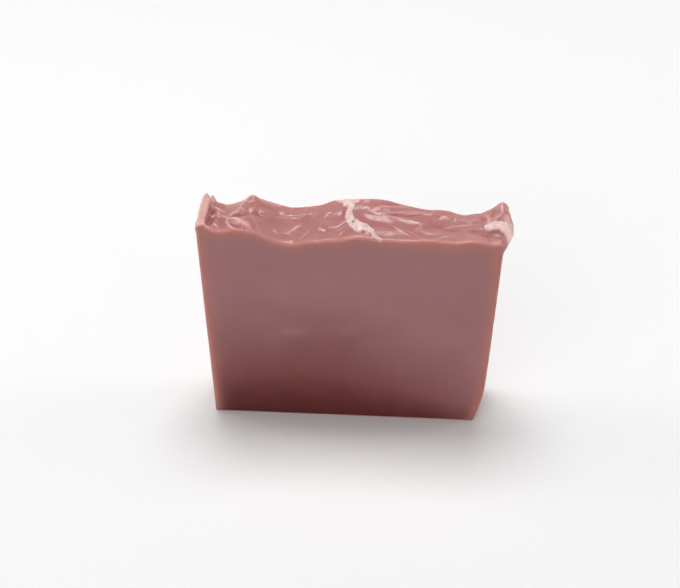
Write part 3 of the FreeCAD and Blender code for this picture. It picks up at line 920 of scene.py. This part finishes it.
def bar_mesh():
    """The closed mesh of the bar, with its zones kept as attributes of its points."""
    grid, corners, zones = skin()
    rows, count = grid.shape[:2]
    points = [grid.reshape(-1, 3)]
    values = {name: [zone.ravel()] for name, zone in zones.items()}
    faces = []
    for row in range(rows - 1):
        for column in range(count):
            after = (column + 1) % count
            faces.append([row * count + column, (row + 1) * count + column,
                          (row + 1) * count + after, row * count + after])
    base = rows * count
    for row, way in ((0, 1), (rows - 1, -1)):
        outline = grid[row]
        inner, cap = cut_face(outline, corners, corners[1])
        for face in cap:
            ring = [row * count + index if index < count else base + index - count for index in face]
            faces.append(ring[::way])
        edge = outline[:corners[3] + 1]
        depth = np.array([np.min(np.hypot(*(edge - point)[:, [0, 2]].T)) for point in inner])
        waves = np.array([noise.noise(Vector((x, way * 50, z)) * CUT_WAVE_SCALE) for x, _, z in inner])
        waves = np.clip(0.5 + 0.5 * waves, 0, 1)
        inner[:, 1] += way * CUT_WAVES * waves * fade(depth, *CUT_WAVE_FADE)
        points.append(inner)
        for name in values:
            values[name].append(np.zeros(len(inner)))
        near_ear = fade(inner[:, 0], *RIM_SPREAD_ACROSS) * fade(inner[:, 2], *RIM_SPREAD_UP)
        wider = 1 + RIM_SPREAD * near_ear
        values["rim"][-1] = np.exp(-depth / (RIM_DEPTH * wider))
        values["cut"][-1] = np.ones(len(inner))
        if way > 0:
            values["smudge"][-1] = wiped(inner[:, 0], inner[:, 2])
        base += len(inner)
    mesh = bpy.data.meshes.new("soap")
    mesh.from_pydata((np.concatenate(points) * MM).tolist(), [], faces)
    for name, parts in values.items():
        layer = mesh.attributes.new(name, "FLOAT", "POINT")
        layer.data.foreach_set("value", np.concatenate(parts).astype(np.float32))
    mesh.polygons.foreach_set("use_smooth", [True] * len(mesh.polygons))
    mesh.update()
    return mesh


def new_node(tree, kind, inputs=(), **settings):
    """A new node with its settings, and with a value or a link for some inputs."""
    made = tree.nodes.new(kind)
    for name, value in settings.items():
        setattr(made, name, value)
    for key, value in dict(inputs).items():
        if isinstance(value, bpy.types.NodeSocket):
            tree.links.new(value, made.inputs[key])
        else:
            made.inputs[key].default_value = value
    return made


def soap_material():
    """Waxy soap: satin where it was cut, dull where the mould was, and wet on top."""
    material = bpy.data.materials.new("soap")
    material.use_nodes = True
    tree = material.node_tree
    links = tree.links
    shader = tree.nodes["Principled BSDF"]

    def node(kind, inputs=(), **settings):
        return new_node(tree, kind, inputs, **settings)

    def attribute(name):
        return node("ShaderNodeAttribute", attribute_name=name).outputs["Fac"]

    def mix_colour(share, first, second):
        ends = [(*value, 1) if isinstance(value, tuple) else value for value in (first, second)]
        inputs = {"Factor": share, "A": ends[0], "B": ends[1]}
        return node("ShaderNodeMix", inputs, data_type="RGBA").outputs["Result"]

    def mix_value(share, first, second):
        inputs = {"Factor": share, "A": first, "B": second}
        return node("ShaderNodeMix", inputs, data_type="FLOAT").outputs["Result"]

    def maths(operation, first, second):
        return node("ShaderNodeMath", {0: first, 1: second}, operation=operation).outputs[0]

    def remap(value, low, high, out_low, out_high):
        inputs = {"Value": value, "From Min": low, "From Max": high}
        inputs.update({"To Min": out_low, "To Max": out_high})
        return node("ShaderNodeMapRange", inputs).outputs["Result"]

    def noise_at(scale, detail, stretch=(1, 1, 1), distortion=0.0):
        inputs = {"Vector": coordinates.outputs["Object"], "Scale": stretch}
        placed = node("ShaderNodeMapping", inputs)
        inputs = {"Vector": placed.outputs["Vector"], "Scale": scale, "Detail": detail}
        inputs["Distortion"] = distortion
        return node("ShaderNodeTexNoise", inputs).outputs["Fac"]

    coordinates = node("ShaderNodeTexCoord")
    poured, glassy, crust_and_sheen, pale, deep, pit, rim, cut, smudge = map(attribute, ZONE_NAMES)

    # Colour: painted shade low in the bar, a painted glow of warm light in the cut edges, a dull
    # skin where the mould was and a brighter skin on the poured top
    apart = node("ShaderNodeSeparateXYZ", {"Vector": coordinates.outputs["Object"]})
    clouds = noise_at(40, 4, distortion=0.4)
    body = mix_colour(remap(clouds, 0.35, 0.65, 0, 1), BODY_LOW, BODY_HIGH)
    # Painted shade, darker low in the middle of the bar
    aside = maths("SUBTRACT", apart.outputs["X"], LOW_SHADE_MIDDLE)
    aside = maths("MULTIPLY", maths("MULTIPLY", aside, aside), LOW_SHADE_CURVE)
    height = maths("ADD", apart.outputs["Z"], maths("MULTIPLY", clouds, LOW_SHADE_WANDER))
    low_shade = remap(maths("ADD", height, aside), *LOW_SHADE_FADE, 1, 0)
    body = mix_colour(low_shade, body, LOW_SHADE)
    # Painted shade, darker still at the foot
    foot_shade = maths("ADD", height, maths("MULTIPLY", aside, FOOT_SHADE_CURVE_SHARE))
    body = mix_colour(remap(foot_shade, *FOOT_SHADE_FADE, 1, 0), body, FOOT_SHADE)
    body = mix_colour(smudge, body, SMUDGE)
    # Painted glow of warm light in the cut edges, on the cuts, the mould walls and the top
    body = mix_colour(rim, body, RIM)
    mould = mix_colour(remap(clouds, 0.3, 0.7, 0, 1), MOULD_LOW, MOULD_HIGH)
    mould = mix_colour(maths("MULTIPLY", rim, 0.7), mould, RIM)
    skin_tone = mix_colour(remap(noise_at(160, 3), 0.35, 0.7, 0, 1), SKIN_LOW, SKIN_HIGH)
    skin_tone = mix_colour(maths("MULTIPLY", rim, 0.6), skin_tone, SKIN_RIM)
    # Painted shade in the creases and hollows
    skin_tone = mix_colour(deep, skin_tone, SKIN_CREASE_SHADE)
    # Painted highlight on ridges, the thin lip and edges
    skin_tone = mix_colour(pale, skin_tone, SKIN_PAINTED_LIGHT)
    # The crust is pale partly from a painted reflection of the overhead lamp
    broken = remap(noise_at(900, 4), 0.38, 0.62, 0.66, 1)
    skin_tone = mix_colour(maths("MULTIPLY", crust_and_sheen, broken), skin_tone, CRUST_AND_SHEEN)
    colour = mix_colour(poured, mix_colour(cut, mould, body), skin_tone)
    # Painted shade in the pits
    colour = mix_colour(pit, colour, PIT_SHADE)
    links.new(colour, shader.inputs["Base Color"])

    # Roughness
    dull = remap(noise_at(60, 3), 0.3, 0.7, *DULL_ROUGHNESS)
    wet = remap(noise_at(220, 3), 0.3, 0.7, *WET_ROUGHNESS)
    wet = maths("ADD", wet, maths("MULTIPLY", glassy, GLASSY_SHARE))
    wet = maths("ADD", wet, maths("MULTIPLY", crust_and_sheen, CRUST_SHARE))
    links.new(mix_value(poured, dull, wet), shader.inputs["Roughness"])

    # Bump: faint vertical drag lines on the cut faces, fine skin on the top
    drag = noise_at(900, 2, stretch=(1, 1, 0.03))
    grain = noise_at(1500, 3)
    face_bump = maths("ADD", drag, maths("MULTIPLY", grain, DRAG_GRAIN))
    face_bump = maths("MULTIPLY", face_bump, DRAG_BUMP)
    skin_bump = maths("MULTIPLY", noise_at(1100, 3), SKIN_BUMP)
    height = mix_value(poured, face_bump, skin_bump)
    bumps = node("ShaderNodeBump", {"Distance": 1.0, "Height": height})
    links.new(bumps.outputs["Normal"], shader.inputs["Normal"])

    shader.inputs["IOR"].default_value = SOAP_IOR
    shader.inputs["Subsurface Weight"].default_value = 1.0
    shader.inputs["Subsurface Radius"].default_value = SPREAD_SHARES
    shader.inputs["Subsurface Scale"].default_value = SPREAD_DEPTH
    return material


def soap():
    """The bar as one piece that stands for its solid."""
    bar = bpy.data.objects.new("soap", bar_mesh())
    bpy.context.scene.collection.objects.link(bar)
    bar.data.materials.append(soap_material())
    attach(bar, "root")
    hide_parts("soap_bar")
    return bar


def floor_material():
    """Pale near the bar, where it keeps the shadow, and white further away."""
    material = bpy.data.materials.new("floor")
    material.use_nodes = True
    tree = material.node_tree
    shader = tree.nodes["Principled BSDF"]
    shader.inputs["Roughness"].default_value = 0.9
    shader.inputs["Specular IOR Level"].default_value = 0.1
    rays = new_node(tree, "ShaderNodeLightPath").outputs
    inputs = {0: rays["Is Camera Ray"], 1: rays["Is Glossy Ray"]}
    seen = new_node(tree, "ShaderNodeMath", inputs, operation="MAXIMUM")
    inputs = {"Factor": seen.outputs[0], "A": FLOOR_TONE, "B": FLOOR_SEEN}
    tone = new_node(tree, "ShaderNodeMix", inputs, data_type="RGBA")
    tree.links.new(tone.outputs["Result"], shader.inputs["Base Color"])

    # Further away the camera sees it plain white, like the sky behind it
    place = new_node(tree, "ShaderNodeTexCoord").outputs["Object"]
    distance = new_node(tree, "ShaderNodeVectorMath", {0: place}, operation="LENGTH")
    inputs = {"Value": distance.outputs["Value"], "From Min": WHITE_FROM, "From Max": WHITE_TO}
    away = new_node(tree, "ShaderNodeMapRange", inputs, interpolation_type="SMOOTHSTEP")
    inputs = {0: away.outputs["Result"], 1: rays["Is Camera Ray"]}
    share = new_node(tree, "ShaderNodeMath", inputs, operation="MULTIPLY")
    white = new_node(tree, "ShaderNodeEmission")
    inputs = {0: share.outputs[0], 1: shader.outputs[0], 2: white.outputs[0]}
    blend = new_node(tree, "ShaderNodeMixShader", inputs)
    tree.links.new(blend.outputs[0], tree.nodes["Material Output"].inputs["Surface"])
    return material


def floor():
    """A plain square floor under the bar."""
    mesh = bpy.data.meshes.new("floor")
    corners = [(-FLOOR_REACH, -FLOOR_REACH, 0), (FLOOR_REACH, -FLOOR_REACH, 0),
               (FLOOR_REACH, FLOOR_REACH, 0), (-FLOOR_REACH, FLOOR_REACH, 0)]
    mesh.from_pydata(corners, [], [(0, 1, 2, 3)])
    mesh.materials.append(floor_material())
    plane = bpy.data.objects.new("floor", mesh)
    bpy.context.scene.collection.objects.link(plane)


def area_light(name, place, target, size, watts):
    """A soft rectangular lamp at a place, facing a target, all in metres."""
    data = bpy.data.lights.new(name, "AREA")
    data.shape = "RECTANGLE"
    data.size, data.size_y = size
    data.energy = watts
    lamp = bpy.data.objects.new(name, data)
    lamp.location = place
    lamp.rotation_mode = "QUATERNION"
    lamp.rotation_quaternion = (Vector(target) - Vector(place)).to_track_quat("-Z", "Y")
    bpy.context.scene.collection.objects.link(lamp)


def lights():
    """A soft lamp overhead and behind, weaker ones in front and at both sides, and a
    sky that is pale near the horizon."""
    for lamp in LAMPS:
        area_light(*lamp)
    world = bpy.data.worlds.new("world")
    world.use_nodes = True
    tree = world.node_tree
    background = tree.nodes["Background"]
    direction = new_node(tree, "ShaderNodeTexCoord").outputs["Generated"]
    apart = new_node(tree, "ShaderNodeSeparateXYZ", {"Vector": direction})
    inputs = {"Value": apart.outputs["Z"], "From Min": SKY_FADE[0], "From Max": SKY_FADE[1]}
    inputs.update({"To Min": SKY_LOW, "To Max": SKY_HIGH})
    upward = new_node(tree, "ShaderNodeMapRange", inputs)
    rays = new_node(tree, "ShaderNodeLightPath").outputs
    inputs = {"Factor": rays["Is Camera Ray"], "A": upward.outputs["Result"], "B": 1.0}
    strength = new_node(tree, "ShaderNodeMix", inputs, data_type="FLOAT")
    tree.links.new(strength.outputs["Result"], background.inputs["Strength"])
    background.inputs["Color"].default_value = (1, 1, 1, 1)
    bpy.context.scene.world = world


def camera():
    """The camera at the photograph's viewing angle."""
    data = bpy.data.cameras.new("camera")
    data.lens = CAMERA_LENS
    data.sensor_width = SENSOR_WIDTH
    data.clip_start = 0.01
    data.clip_end = 20.0
    made = bpy.data.objects.new("camera", data)
    forward = Vector(CAMERA_FORWARD).normalized()
    right = forward.cross(Vector(CAMERA_UP)).normalized()
    up = right.cross(forward)
    turned = Matrix((right, up, -forward)).transposed().to_4x4()
    made.matrix_world = Matrix.Translation(Vector(CAMERA_PLACE) * MM) @ turned
    bpy.context.scene.collection.objects.link(made)
    bpy.context.scene.camera = made


camera()
lights()
floor()
soap()
bpy.context.scene.view_settings.view_transform = "Standard"
